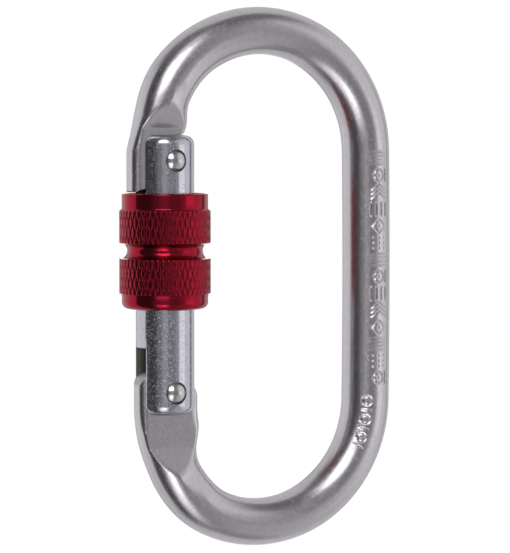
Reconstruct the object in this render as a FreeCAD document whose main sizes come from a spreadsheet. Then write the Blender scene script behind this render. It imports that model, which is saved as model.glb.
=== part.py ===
import FreeCAD, Part
import os
import re
import math
import Sketcher

# Screw-lock steel oval carabiner, in millimetres.
# Every sub-part is drawn on a bench frame: X across the oval with its spine at +X and its gate at -X,
# Y through its thickness, and Z along its length, counted up from the lowest point of the oval.
# The finished pieces are then lowered, so that the row's origin is the inside apex of the upper bow.

DIMENSIONS = [
    ("rod_radius", 5.0, "round bar that the oval is bent from"),
    ("bow_radius", 25.0, "bar centreline in both bows"),
    ("spine_length", 52.0, "straight run between the two bows"),
    ("low_bow_turn", 105.0, "turn round the lower bow where it tightens, in degrees from the spine"),
    ("low_tight_radius", 20.5, "its centreline from there"),
    ("low_tight_turn", 156.3, "turn where it opens out towards the tongue"),
    ("low_open_radius", 34.4, "centreline of that last stretch"),
    ("low_open_turn", 165.0, "turn where the bar gives way to the tongue"),
    ("high_bow_turn", 145.0, "turn round the upper bow where it tightens"),
    ("high_tight_radius", 13.0, "its centreline from there"),
    ("high_tight_turn", 169.0, "turn where it runs on straight into the nose"),
    ("high_run", 4.5, "that straight run"),
    ("press_thickness", 5.0, "both ends of the bar, pressed flat"),
    ("press_edge_radius", 1.2, "rounded rim of the pressed ends"),
    ("gate_offset", 21.5, "gate axis to the middle of the oval"),
    ("gate_radius", 6.0, "gate bar"),
    ("gate_bottom", 28.4, "height of the gate's lower end"),
    ("gate_top", 85.6, "height of the gate's upper end"),
    ("gate_end_round", 2.0, "rounded rims of the gate's ends"),
    ("gate_swing", 36.0, "opening angle of the gate, in degrees"),
    ("fork_width", 5.2, "slots that the pressed ends run in"),
    ("hinge_fork_top", 42.2, "closed end of the lower slot"),
    ("nose_fork_bottom", 73.0, "closed end of the upper slot"),
    ("pivot_height", 33.1, "hinge rivet"),
    ("latch_height", 80.3, "latch pin"),
    ("rivet_radius", 2.25, "both rivets"),
    ("rivet_dome_radius", 6.4, "domed rivet ends, centred on the gate axis"),
    ("hinge_clearance", 0.05, "radial gap of the hinge rivet in the tongue"),
    ("cam_radius", 4.6, "round inner end of the tongue"),
    ("cam_offset", 2.0, "its centre to the hinge axis"),
    ("cam_gap", 0.1, "plunger to tongue"),
    ("tongue_outer", 27.9, "outer edge of the tongue"),
    ("tongue_neck_top", 25.5, "height where the tongue's inner edge runs straight up"),
    ("nose_outer", 29.4, "outer edge of the nose"),
    ("nose_inner", 19.9, "inner edge of the nose inside the slot"),
    ("nose_reach", 41.5, "arc of the nose's lower end, round the hinge, clear of the swinging sleeve"),
    ("nose_corner", 1.0, "inner corner of that end"),
    ("nose_straight_top", 83.0, "height where the nose's outer edge turns straight down"),
    ("lobe_inner", 17.15, "bulge of the nose above the gate"),
    ("lobe_height", 87.9, "height where it bulges most"),
    ("lobe_radius", 2.85, "rounding under that bulge"),
    ("notch_radius", 2.45, "seat of the latch pin in the nose"),
    ("bore_radius", 2.5, "spring bore in the gate"),
    ("bore_top", 58.0, "closed end of the spring bore"),
    ("plunger_radius", 2.4, "head of the plunger"),
    ("plunger_shoulder", 44.5, "top of the plunger's head"),
    ("plunger_stem_radius", 1.2, "stem inside the spring"),
    ("plunger_stem_top", 48.5, "top of the stem"),
    ("wire_radius", 0.35, "spring wire"),
    ("coil_radius", 1.95, "spring coil, to the middle of its wire"),
    ("coil_pitch", 1.4, "rise of one coil"),
    ("thread_radius", 6.95, "raised lock thread on the gate"),
    ("thread_bottom", 60.3, "lower end of that thread"),
    ("thread_top", 65.6, "its upper end"),
    ("thread_gap", 0.05, "radial gap between the two threads"),
    ("sleeve_bottom", 50.0, "lower end of the sleeve, screwed down"),
    ("sleeve_top", 73.6, "its upper end"),
    ("collar_radius", 8.85, "plain collars at both ends of the sleeve"),
    ("knurl_radius", 9.35, "crests of the knurled bands"),
    ("knurl_bottom", 53.2, "lower edge of the lower band"),
    ("knurl_top", 70.1, "upper edge of the upper band"),
    ("waist_height", 61.9, "middle of the groove between the bands"),
    ("waist_half_width", 1.6, "half of that groove's width"),
    ("waist_round", 1.61, "radius of its hollow"),
    ("collar_round", 2.2, "rounded lower rim of the sleeve"),
    ("collar_chamfer", 0.4, "upper rim and the steps beside the bands"),
    ("mouth_radius", 8.25, "counterbore that takes the nose"),
    ("mouth_floor", 67.2, "bottom of that counterbore"),
    ("stop_radius", 6.45, "ledge that ends the sleeve's way down"),
    ("lip_radius", 6.2, "lower lips around the gate bar"),
    ("lip_top", 54.2, "top of the upper one of those lips"),
    ("ring_height", 52.2, "middle of the friction ring"),
    ("ring_section", 0.85, "radius of the ring's round section"),
    ("ring_radius", 6.9, "ring, to the middle of its section"),
    ("groove_radius", 7.8, "ring groove in the sleeve"),
    ("groove_half_height", 1.0, "half of that groove's height"),
    ("stop_gap", 0.1, "end play at each sleeve stop"),
]

# Heights and places that follow from the driving dimensions.
LOW_BOW = "(bow_radius + rod_radius)"
HIGH_BOW = "(bow_radius + rod_radius + spine_length)"
APEX = "(2 * bow_radius + spine_length)"
CAM_X = "(-gate_offset + cam_offset * cos(gate_swing / 2 * 1 deg))"
CAM_Z = "(pivot_height - cam_offset * sin(gate_swing / 2 * 1 deg))"
HALF_PRESS = "(press_thickness / 2)"
HALF_FORK = "(fork_width / 2)"
PLUNGER_BOTTOM = f"({CAM_Z} + cam_radius + cam_gap)"

# The middles of the arcs that each bow is made of, after its first one. Both are counted from the bows' own
# middles, and every arc starts in line with the one before it.
LOW_TIGHT_X = "((bow_radius - low_tight_radius) * cos(low_bow_turn * 1 deg))"
LOW_TIGHT_Z = f"({LOW_BOW} - (bow_radius - low_tight_radius) * sin(low_bow_turn * 1 deg))"
LOW_OPEN_X = f"({LOW_TIGHT_X} + (low_tight_radius - low_open_radius) * cos(low_tight_turn * 1 deg))"
LOW_OPEN_Z = f"({LOW_TIGHT_Z} - (low_tight_radius - low_open_radius) * sin(low_tight_turn * 1 deg))"
HIGH_TIGHT_X = "((bow_radius - high_tight_radius) * cos(high_bow_turn * 1 deg))"
HIGH_TIGHT_Z = f"({HIGH_BOW} + (bow_radius - high_tight_radius) * sin(high_bow_turn * 1 deg))"

# The press faces: flat up to one height, then sloping out to the bar's full thickness.
TONGUE_FLAT_HEIGHT = 21.7
TONGUE_SLOPE_END = 15.6
NOSE_FLAT_HEIGHT = 86.8
NOSE_SLOPE_END = 92.0

# The inner ends of the two plates, which sink into the sloped faces of the bar and blend with its bows.
TONGUE_ROOT = [("-24.6", "17.6"), ("-17.6", "17.6"), ("-15.9", "19.5"), ("-15.3", "21.5")]
NOSE_ROOT = [("-17.35", "90.3"), ("-17.9", "92.3"), ("-20", "93.5"), ("-25.5", "93.5")]

doc = FreeCAD.newDocument("locking_carabiner")
NAMES = re.compile(r"\b(" + "|".join(name for name, _, _ in DIMENSIONS) + r")\b")


def fill_sheet():
    sheet = doc.addObject("Spreadsheet::Sheet", "Dims")
    for row, (name, size, note) in enumerate(DIMENSIONS, 1):
        sheet.set(f"A{row}", note)
        sheet.set(f"B{row}", str(size))
        sheet.setAlias(f"B{row}", name)
    doc.recompute()


def formula(text):
    """An expression on the sheet's cells, from text that uses their bare names."""
    return NAMES.sub(r"Dims.\1", str(text))


def number(text):
    return float(doc.Dims.evalExpression(str(text)))


def drive(item, **sizes):
    for name, text in sizes.items():
        item.setExpression(name.replace("__", "."), formula(text))


def sketch_on(body, role, name, height="0"):
    """A sketch on one of the body's own origin planes, moved along its normal by height."""
    sketch = body.newObject("Sketcher::SketchObject", name)
    plane = next(item for item in body.Origin.OriginFeatures if item.Role == role)
    sketch.AttachmentSupport = [(plane, "")]
    sketch.MapMode = "FlatFace"
    drive(sketch, AttachmentOffset__Base__z=height)
    return sketch


def constrain(sketch, kind, *where, size=None):
    if size is None:
        return sketch.addConstraint(Sketcher.Constraint(kind, *where))
    index = sketch.addConstraint(Sketcher.Constraint(kind, *where, number(size)))
    sketch.setExpression(f"Constraints[{index}]", formula(size))
    return index


def circle(sketch, across, up, radius):
    middle = FreeCAD.Vector(number(across), number(up), 0)
    index = sketch.addGeometry(Part.Circle(middle, FreeCAD.Vector(0, 0, 1), number(radius)))
    place_point(sketch, index, 3, across, up)
    constrain(sketch, "Radius", index, size=radius)


def place_point(sketch, index, end, across, up):
    """Ties a sketch point to its distances from the sketch's axes."""
    for kind, axis, text in (("DistanceX", -2, across), ("DistanceY", -1, up)):
        if abs(number(text)) < 1e-9:
            constrain(sketch, "PointOnObject", index, end, axis)
        else:
            constrain(sketch, kind, -1, 1, index, end, size=text)


def outline(sketch, points, closed=True):
    """A line through points, closed or open. Each is (across, up), or (across, up, radius) where an arc
    leads on to the next one: a positive radius turns left of the way there, a negative one turns right."""
    ends = []
    for here, after in zip(points, points[1:] + points[:1] if closed else points[1:]):
        start = FreeCAD.Vector(number(here[0]), number(here[1]), 0)
        finish = FreeCAD.Vector(number(after[0]), number(after[1]), 0)
        if len(here) == 2:
            index = sketch.addGeometry(Part.LineSegment(start, finish))
            ends.append((index, 1, 2))
            continue
        left = not str(here[2]).startswith("-")
        radius = str(here[2]).lstrip("-")
        chord = finish - start
        rise = math.sqrt(max(number(radius) ** 2 - (chord.Length / 2) ** 2, 0))
        side = FreeCAD.Vector(-chord.y, chord.x, 0).normalize() * (rise if left else -rise)
        middle = start + chord / 2 + side
        first, last = (start, finish) if left else (finish, start)
        begin, end = [math.atan2(point.y - middle.y, point.x - middle.x) for point in (first, last)]
        rim = Part.Circle(middle, FreeCAD.Vector(0, 0, 1), number(radius))
        index = sketch.addGeometry(Part.ArcOfCircle(rim, begin, end + (2 * math.pi if end < begin else 0)))
        constrain(sketch, "Radius", index, size=radius)
        ends.append((index, 1, 2) if left else (index, 2, 1))
    for number_here, (index, begin, _) in enumerate(ends):
        place_point(sketch, index, begin, *points[number_here][:2])
        if closed or number_here:
            before, _, end = ends[number_here - 1]
            constrain(sketch, "Coincident", before, end, index, begin)
    if not closed:
        index, _, end = ends[-1]
        place_point(sketch, index, end, *points[-1][:2])


def revolve(body, sketch):
    feature = body.newObject("PartDesign::Revolution", sketch.Name + "_turn")
    feature.Profile = sketch
    feature.ReferenceAxis = (sketch, ["V_Axis"])
    feature.Angle = 360
    doc.recompute()


def sweep(body, section, points):
    """Draws a section out along a path of arcs and lines, which starts at the section's middle."""
    path = sketch_on(body, "XZ_Plane", section.Name + "_path")
    outline(path, points, closed=False)
    feature = body.newObject("PartDesign::AdditivePipe", section.Name + "_pipe")
    feature.Profile = section
    feature.Spine = (path, [f"Edge{index + 1}" for index in range(len(points) - 1)])
    doc.recompute()


def pad(body, sketch, length, symmetric=False):
    feature = body.newObject("PartDesign::Pad", sketch.Name + "_pad")
    feature.Profile = sketch
    if symmetric:
        feature.SideType = "Symmetric"
    drive(feature, Length=length)
    doc.recompute()
    return feature


def cut(body, sketch, length=None, symmetric=True):
    """Cuts a sketch out of the body, and stops if it removed nothing."""
    before = body.Shape.Volume
    feature = body.newObject("PartDesign::Pocket", sketch.Name + "_cut")
    feature.Profile = sketch
    if symmetric:
        feature.SideType = "Symmetric"
    if length is None:
        feature.Type = "ThroughAll"
    else:
        drive(feature, Length=length)
    doc.recompute()
    if body.Shape.Volume > before - 1e-3:
        raise RuntimeError(sketch.Name + " cuts nothing")


def round_rims(body, plate, half_thickness, radius):
    """Rounds every edge on the two faces of a pressed plate."""
    rims = []
    for index, edge in enumerate(plate.Shape.Edges, 1):
        box = edge.BoundBox
        if box.YLength < 1e-6 and abs(abs(box.YMin) - number(half_thickness)) < 1e-6:
            rims.append(f"Edge{index}")
    fillet = body.newObject("PartDesign::Fillet", plate.Name + "_rims")
    fillet.Base = (plate, rims)
    drive(fillet, Radius=radius)
    doc.recompute()


def settle(item, label, across="0"):
    """Names a finished sub-part and moves it from the bench frame to the row's frame."""
    item.Label = label
    drive(item, Placement__Base__x=across, Placement__Base__z=f"-{APEX}")
    return item


def turned(name, points):
    """A body of revolution, from the outline of its half section as (radius, height) points."""
    body = doc.addObject("PartDesign::Body", name)
    section = sketch_on(body, "XZ_Plane", name + "_section")
    outline(section, points)
    revolve(body, section)
    return body


def on_arc(middle_x, middle_z, radius, turn, side):
    """A point on a bow's arc, at a turn from the spine's side: upwards for +, downwards for -."""
    return (f"({middle_x} + {radius} * cos({turn} * 1 deg))",
            f"({middle_z} {side} {radius} * sin({turn} * 1 deg))")


def make_bar():
    """The round bar: spine and both bows, sloped down to the pressed thickness at the gate side."""
    body = doc.addObject("PartDesign::Body", "bar")
    spine = sketch_on(body, "XY_Plane", "spine", LOW_BOW)
    circle(spine, "bow_radius", "0", "rod_radius")
    pad(body, spine, "spine_length")
    low = sketch_on(body, "XY_Plane", "low_bow", LOW_BOW)
    circle(low, "bow_radius", "0", "rod_radius")
    sweep(body, low, [("bow_radius", LOW_BOW, "-bow_radius"),
                      (*on_arc("0", LOW_BOW, "bow_radius", "low_bow_turn", "-"), "-low_tight_radius"),
                      (*on_arc(LOW_TIGHT_X, LOW_TIGHT_Z, "low_tight_radius", "low_tight_turn", "-"),
                       "-low_open_radius"),
                      on_arc(LOW_OPEN_X, LOW_OPEN_Z, "low_open_radius", "low_open_turn", "-")])
    high = sketch_on(body, "XY_Plane", "high_bow", HIGH_BOW)
    circle(high, "bow_radius", "0", "rod_radius")
    run_on = on_arc(HIGH_TIGHT_X, HIGH_TIGHT_Z, "high_tight_radius", "high_tight_turn", "+")
    sweep(body, high, [("bow_radius", HIGH_BOW, "bow_radius"),
                       (*on_arc("0", HIGH_BOW, "bow_radius", "high_bow_turn", "+"), "high_tight_radius"),
                       run_on, (f"{run_on[0]} - high_run * sin(high_tight_turn * 1 deg)",
                                f"{run_on[1]} + high_run * cos(high_tight_turn * 1 deg)")])
    faces = (("low", TONGUE_SLOPE_END, TONGUE_FLAT_HEIGHT), ("high", NOSE_SLOPE_END, NOSE_FLAT_HEIGHT))
    for name, slope_end, flat_height in faces:
        for side, sign in (("front", "-"), ("back", "")):
            press = sketch_on(body, "YZ_Plane", f"press_{name}_{side}")
            outline(press, [(f"{sign}rod_radius", slope_end), (f"{sign}2 * rod_radius", slope_end),
                            (f"{sign}2 * rod_radius", APEX + "/ 2"), (f"{sign}{HALF_PRESS}", APEX + "/ 2"),
                            (f"{sign}{HALF_PRESS}", flat_height)])
            cut(body, press, symmetric=False)
    return body


def make_tongue():
    """The pressed lower end, which carries the hinge and the cam that works the gate's plunger."""
    body = doc.addObject("PartDesign::Body", "tongue")
    plate = sketch_on(body, "XZ_Plane", "tongue_outline")
    top = f"({CAM_Z} + cam_radius)"
    outline(plate, [(f"{CAM_X} + cam_radius", CAM_Z, "cam_radius"),
                    (CAM_X, top), ("-tongue_outer + press_edge_radius", top, "press_edge_radius"),
                    ("-tongue_outer", top + " - press_edge_radius"),
                    ("-tongue_outer", LOW_OPEN_Z, "low_open_radius + rod_radius"), *TONGUE_ROOT,
                    (f"{CAM_X} + cam_radius", "tongue_neck_top")])
    flat = pad(body, plate, "press_thickness", symmetric=True)
    round_rims(body, flat, HALF_PRESS, "press_edge_radius")
    hole = sketch_on(body, "XZ_Plane", "hinge_hole")
    circle(hole, "-gate_offset", "pivot_height", "rivet_radius + hinge_clearance")
    cut(body, hole)
    return body


def make_nose():
    """The pressed upper end, which reaches into the gate's slot and hooks round the latch pin."""
    body = doc.addObject("PartDesign::Body", "nose")
    plate = sketch_on(body, "XZ_Plane", "nose_outline")
    under_lobe = "lobe_height - sqrt(lobe_radius ^ 2 - (lobe_inner + lobe_radius - nose_inner) ^ 2)"
    outer_tip = "-nose_outer + press_edge_radius"
    inner_tip = "-nose_inner - nose_corner"
    outer_end, inner_end = [f"(pivot_height + sqrt(nose_reach ^ 2 - (gate_offset + {across}) ^ 2))"
                            for across in (outer_tip, inner_tip)]
    outline(plate, [("-nose_outer", outer_end + " + press_edge_radius", "press_edge_radius"),
                    (outer_tip, outer_end, "-nose_reach"),
                    (inner_tip, inner_end, "nose_corner"), ("-nose_inner", inner_end + " + nose_corner"),
                    ("-nose_inner", under_lobe, "lobe_radius"), ("-lobe_inner", "lobe_height"), *NOSE_ROOT,
                    ("-27.5", "92.3"), ("-nose_outer", "nose_straight_top")])
    flat = pad(body, plate, "press_thickness", symmetric=True)
    round_rims(body, flat, HALF_PRESS, "press_edge_radius")
    seat = sketch_on(body, "XZ_Plane", "latch_seat")
    circle(seat, "-gate_offset", "latch_height", "notch_radius")
    cut(body, seat)
    mouth = sketch_on(body, "XZ_Plane", "latch_mouth")
    outline(mouth, [("-gate_offset", "latch_height - notch_radius"),
                    ("-gate_offset + gate_radius", "latch_height - notch_radius"),
                    ("-gate_offset + gate_radius", "latch_height + notch_radius"),
                    ("-gate_offset", "latch_height + notch_radius")])
    cut(body, mouth)
    return body


def make_body():
    """The one-piece oval: the bar with both of its pressed ends."""
    whole = doc.addObject("Part::MultiFuse", "oval")
    whole.Shapes = [make_bar(), make_tongue(), make_nose()]
    whole.Refine = True
    return settle(whole, "body")


def make_gate():
    """The gate bar: forked at both ends, bored for the spring, with the lock thread on its middle."""
    body = turned("gate_bar", [
        ("0", "gate_bottom"), ("gate_radius - gate_end_round", "gate_bottom", "gate_end_round"),
        ("gate_radius", "gate_bottom + gate_end_round"), ("gate_radius", "thread_bottom"),
        ("thread_radius", "thread_bottom"), ("thread_radius", "thread_top"),
        ("gate_radius", "thread_top"), ("gate_radius", "gate_top - gate_end_round", "gate_end_round"),
        ("gate_radius - gate_end_round", "gate_top"), ("0", "gate_top")])
    forks = (("hinge_fork", "gate_bottom - 1", "hinge_fork_top"),
             ("nose_fork", "nose_fork_bottom", "gate_top + 1"))
    for name, low, high in forks:
        slot = sketch_on(body, "YZ_Plane", name)
        outline(slot, [(f"-{HALF_FORK}", low), (HALF_FORK, low), (HALF_FORK, high), (f"-{HALF_FORK}", high)])
        cut(body, slot)
    for name, height in (("hinge_rivet_hole", "pivot_height"), ("latch_pin_hole", "latch_height")):
        hole = sketch_on(body, "XZ_Plane", name)
        circle(hole, "0", height, "rivet_radius")
        cut(body, hole)
    bore = sketch_on(body, "XY_Plane", "spring_bore", "bore_top")
    circle(bore, "0", "0", "bore_radius")
    cut(body, bore, "bore_top - hinge_fork_top + 0.5", symmetric=False)
    return settle(body, "gate", "-gate_offset")


def make_rivet(label, height):
    """A round pin across the gate, with both of its ends peened to a low dome."""
    shank = doc.addObject("Part::Cylinder", label + "_shank")
    shank.Placement = FreeCAD.Placement(FreeCAD.Vector(), FreeCAD.Rotation(FreeCAD.Vector(1, 0, 0), 90))
    drive(shank, Radius="rivet_radius", Height="2 * rivet_dome_radius",
          Placement__Base__y="rivet_dome_radius", Placement__Base__z=height)
    dome = doc.addObject("Part::Sphere", label + "_dome")
    drive(dome, Radius="rivet_dome_radius", Placement__Base__z=height)
    rivet = doc.addObject("Part::Common", label + "_pin")
    rivet.Base = shank
    rivet.Tool = dome
    return settle(rivet, label, "-gate_offset")


def make_plunger():
    """The follower that the spring presses on the tongue's cam."""
    body = turned("plunger", [
        ("0", PLUNGER_BOTTOM), ("plunger_radius", PLUNGER_BOTTOM), ("plunger_radius", "plunger_shoulder"),
        ("plunger_stem_radius", "plunger_shoulder"), ("plunger_stem_radius", "plunger_stem_top"),
        ("0", "plunger_stem_top")])
    return settle(body, "spring_plunger", "-gate_offset")


def make_spring():
    """The compression coil in the gate's bore, which closes the gate."""
    body = doc.addObject("PartDesign::Body", "coil")
    wire = sketch_on(body, "XZ_Plane", "wire_section")
    circle(wire, "coil_radius", "plunger_shoulder + wire_radius + cam_gap / 2", "wire_radius")
    coil = body.newObject("PartDesign::AdditiveHelix", "coil_turns")
    coil.Profile = wire
    coil.ReferenceAxis = (wire, ["V_Axis"])
    coil.Mode = "pitch-height-angle"
    drive(coil, Pitch="coil_pitch", Height="bore_top - plunger_shoulder - 2 * wire_radius - cam_gap")
    return settle(body, "gate_spring", "-gate_offset")


def make_sleeve():
    """The screw sleeve: threaded on the gate, its mouth wide enough to pass over the nose."""
    groove_low = "ring_height - groove_half_height"
    groove_high = "ring_height + groove_half_height"
    stop_bottom = "thread_top + stop_gap"
    body = turned("sleeve", [
        ("lip_radius", "sleeve_bottom"), ("collar_radius - collar_round", "sleeve_bottom", "collar_round"),
        ("collar_radius", "sleeve_bottom + collar_round"), ("collar_radius", "knurl_bottom - collar_chamfer"),
        ("knurl_radius", "knurl_bottom"), ("knurl_radius", "waist_height - waist_half_width", "-waist_round"),
        ("knurl_radius", "waist_height + waist_half_width"), ("knurl_radius", "knurl_top"),
        ("collar_radius", "knurl_top + collar_chamfer"), ("collar_radius", "sleeve_top - collar_chamfer"),
        ("collar_radius - collar_chamfer", "sleeve_top"), ("mouth_radius", "sleeve_top"),
        ("mouth_radius", "mouth_floor"), ("stop_radius", "mouth_floor"), ("stop_radius", stop_bottom),
        ("thread_radius + thread_gap", stop_bottom), ("thread_radius + thread_gap", "lip_top"),
        ("lip_radius", "lip_top"), ("lip_radius", groove_high), ("groove_radius", groove_high),
        ("groove_radius", groove_low), ("lip_radius", groove_low)])
    return settle(body, "locking_sleeve", "-gate_offset")


def make_ring():
    """The ring that grips the gate bar inside the sleeve's groove."""
    ring = doc.addObject("Part::Torus", "ring")
    drive(ring, Radius1="ring_radius", Radius2="ring_section", Placement__Base__x="-gate_offset",
          Placement__Base__z=f"ring_height - {APEX}")
    ring.Label = "sleeve_friction_ring"
    return ring


def check_and_write(pieces):
    doc.recompute()
    broken = [item.Name for item in doc.Objects if {"Invalid", "Error"} & set(item.State)]
    if broken:
        raise RuntimeError("failed objects: " + ", ".join(broken))
    for piece in pieces:
        if piece.Shape.isNull() or not piece.Shape.isValid() or len(piece.Shape.Solids) != 1:
            raise RuntimeError(piece.Label + " isn't one valid solid")
    os.makedirs("parts", exist_ok=True)
    for piece in pieces:
        piece.Shape.exportStep(f"parts/{piece.Label}.step")
        print(f"{piece.Label}: {piece.Shape.Volume:.1f} mm3")


fill_sheet()
check_and_write([
    make_body(), make_gate(), make_rivet("hinge_rivet", "pivot_height"),
    make_rivet("latch_pin", "latch_height"), make_plunger(), make_spring(), make_sleeve(), make_ring()])
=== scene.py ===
import math

import bmesh
import bpy
import numpy as np
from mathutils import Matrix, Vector


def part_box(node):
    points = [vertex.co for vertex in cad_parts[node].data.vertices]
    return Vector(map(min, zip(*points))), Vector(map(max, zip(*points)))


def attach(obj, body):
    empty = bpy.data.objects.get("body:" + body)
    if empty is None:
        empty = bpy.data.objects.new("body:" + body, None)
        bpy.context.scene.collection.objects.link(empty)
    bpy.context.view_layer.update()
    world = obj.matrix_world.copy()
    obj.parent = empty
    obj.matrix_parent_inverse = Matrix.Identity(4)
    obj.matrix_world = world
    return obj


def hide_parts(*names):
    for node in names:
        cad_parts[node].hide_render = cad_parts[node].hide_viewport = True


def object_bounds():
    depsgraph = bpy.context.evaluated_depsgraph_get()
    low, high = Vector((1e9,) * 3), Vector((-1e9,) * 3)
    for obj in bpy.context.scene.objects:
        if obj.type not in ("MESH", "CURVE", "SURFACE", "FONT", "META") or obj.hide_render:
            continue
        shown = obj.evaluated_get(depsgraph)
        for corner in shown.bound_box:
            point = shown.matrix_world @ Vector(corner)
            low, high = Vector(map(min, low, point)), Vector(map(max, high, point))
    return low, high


# A screw-lock steel oval carabiner. Shapes are worked out in millimetres in the frame's own axes, but
# with heights counted up from the lowest point of the oval, and become metres when a mesh is made.
# X runs across the oval (spine at +X, gate at -X), Y through its thickness, Z along it.

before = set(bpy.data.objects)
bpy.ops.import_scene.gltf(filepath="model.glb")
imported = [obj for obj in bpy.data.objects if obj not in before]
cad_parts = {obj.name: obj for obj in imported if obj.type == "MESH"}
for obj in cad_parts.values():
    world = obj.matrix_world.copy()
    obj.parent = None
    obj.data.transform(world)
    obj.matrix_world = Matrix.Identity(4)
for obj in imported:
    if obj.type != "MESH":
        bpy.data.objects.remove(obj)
CAD_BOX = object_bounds()
MM = 0.001


def box_mm(node):
    """A CAD node's lowest and highest corners in millimetres, heights from the oval's lowest point."""
    low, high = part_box(node)
    return [Vector((corner.x, corner.y, corner.z - CAD_BOX[0].z)) / MM for corner in (low, high)]


BODY_LOW, BODY_HIGH = box_mm("body")
GATE_LOW, GATE_HIGH = box_mm("gate")
HINGE_LOW, HINGE_HIGH = box_mm("hinge_rivet")
LATCH_LOW, LATCH_HIGH = box_mm("latch_pin")
SLEEVE_LOW, SLEEVE_HIGH = box_mm("locking_sleeve")

# The oval: a round bar bent round two bows.
ROD = BODY_HIGH.y
BOW = BODY_HIGH.x - ROD
LOW_BOW_Z = BOW + ROD
HIGH_BOW_Z = BODY_HIGH.z - BOW - ROD

# The gate and what it carries. Its rivets sit in their holes with a hair's gap.
GATE_X = (HINGE_LOW.x + HINGE_HIGH.x) / 2
GATE_R = 6.0
GATE_BOTTOM, GATE_TOP = GATE_LOW.z, GATE_HIGH.z
GATE_ROUND = 2.0
EDGE_BREAK = 0.2
HALF_FORK = 2.6
HINGE_FORK_TOP = 42.2
NOSE_FORK_BOTTOM = 73.0
HINGE_Z = (HINGE_LOW.z + HINGE_HIGH.z) / 2
LATCH_Z = (LATCH_LOW.z + LATCH_HIGH.z) / 2
RIVET_R = (HINGE_HIGH.x - HINGE_LOW.x) / 2
RIVET_Y = HINGE_HIGH.y
DOME_R = 3.0
RIVET_RIM = 0.15
RIVET_GAP = 0.02
THREAD_R = 6.95
THREAD_BOTTOM, THREAD_TOP = 60.3, 65.6
BORE_R = 2.5
BORE_TOP = 58.0

# The nose and the tongue, the bar's two pressed ends. They are measured across from the oval's middle.
HALF_PRESS = 2.5
PLATE_HOLE_GAP = 0.05
NOSE_OUTER, NOSE_INNER = 29.55, 19.9
NOSE_REACH = 41.5
NOSE_CORNER = 1.0
NOSE_OUTER_CORNER_R = 0.5
SHEAR_ROUND = 0.35
NOTCH_R = 2.45
TONGUE_OUTER, TONGUE_INNER = 28.0, 15.0
TONGUE_CORNER = 3.6
TONGUE_FLANK_Z = 30.9
CAM_R = 4.6
CAM_ACROSS, CAM_Z = 19.6, 32.48
TONGUE_TOP = CAM_Z + CAM_R

# How far a cross drill goes each way, and the angles in degrees from which edges stay sharp.
DRILL_HALF = 9
BODY_SHARP, GATE_SHARP, RIVET_SHARP, SLEEVE_SHARP = 38, 32, 50, 40
BREAK_FROM = 30


# ---------------------------------------------------------------- making meshes

def mesh_object(name, points, faces, sharp=None):
    """A smooth-shaded object from points in millimetres; edges sharper than sharp degrees stay sharp."""
    mesh = bpy.data.meshes.new(name)
    ground = CAD_BOX[0].z
    mesh.from_pydata([(x * MM, y * MM, z * MM + ground) for x, y, z in points], [], faces)
    work = bmesh.new()
    work.from_mesh(mesh)
    bmesh.ops.recalc_face_normals(work, faces=work.faces)
    work.to_mesh(mesh)
    work.free()
    made = bpy.data.objects.new(name, mesh)
    bpy.context.scene.collection.objects.link(made)
    shade(made, sharp)
    return made


def shade(piece, sharp=None):
    """Shades a piece smooth, apart from edges sharper than sharp degrees."""
    piece.data.shade_smooth()
    if sharp is not None:
        piece.data.set_sharp_from_angle(angle=math.radians(sharp))


def cut_away(piece, cutters, sharp):
    """Cuts closed meshes out of the piece exactly, then deletes them."""
    for cutter in cutters:
        change = piece.modifiers.new("cut", "BOOLEAN")
        change.operation = "DIFFERENCE"
        change.solver = "EXACT"
        change.object = cutter
    graph = bpy.context.evaluated_depsgraph_get()
    cut = bpy.data.meshes.new_from_object(piece.evaluated_get(graph), depsgraph=graph)
    piece.modifiers.clear()
    piece.data = cut
    for cutter in cutters:
        bpy.data.objects.remove(cutter)
    shade(piece, sharp)


def ring_faces(rows, columns):
    """Quads between neighbouring closed rings that have the same number of points."""
    faces = []
    for row in range(rows - 1):
        for column in range(columns):
            here = row * columns
            after = (column + 1) % columns
            faces.append((here + column, here + after, here + columns + after, here + columns + column))
    return faces


def lathe(name, profile, columns, middle, axis="Z", sharp=35):
    """Turns (radius, height) points round an axis through middle, and closes both ends flat."""
    points = []
    for radius, height in profile:
        for column in range(columns):
            turn = 2 * math.pi * column / columns
            across, along = radius * math.cos(turn), radius * math.sin(turn)
            step = (across, along, height) if axis == "Z" else (across, -height, along)
            points.append([a + b for a, b in zip(middle, step)])
    faces = ring_faces(len(profile), columns)
    last = (len(profile) - 1) * columns
    faces += [tuple(reversed(range(columns))), tuple(last + column for column in range(columns))]
    return mesh_object(name, points, faces, sharp)


def arc(centre, radius, start, end, steps):
    """Points on an arc between two angles in degrees, as (across, up)."""
    turns = np.radians(np.linspace(start, end, steps + 1))
    return [(centre[0] + radius * math.cos(t), centre[1] + radius * math.sin(t)) for t in turns]


def line(start, end, steps):
    """Points on a straight line, both ends included."""
    return [tuple(np.add(start, np.subtract(end, start) * k / steps)) for k in range(steps + 1)]


def cross_drill(radius, z):
    """A cutter through the gate or a plate, along Y at the gate's middle."""
    return lathe("cutter", [(radius, -DRILL_HALF), (radius, DRILL_HALF)], 96, (GATE_X, 0, z), "Y")


# ---------------------------------------------------------------- the oval body

# The stamped marks: their kinds from the top down, their spacing, half width and distance to one side of
# the bar's front, and three small rings with a tick each near the low bow.
MARK_KINDS = ["bars", "target", "chevrons", "rails", "diamond", "dots", "bars", "target", "rails", "chevrons",
              "diamond", "bars", "dots", "target"]
MARK_TOP = HIGH_BOW_Z - 1.4
MARK_STEP = 3.55
MARK_HALF = 1.8
MARK_SIDE = 0.42
DOT_HALF = 0.05
LOW_RINGS = (29.6, 25.4, 21.2)
LOW_RING_R = 0.95
LOW_RING_SIDE = -1.9
LOW_TICK_HALF = 0.9
LOW_TICK_STEP = 2.1

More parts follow.
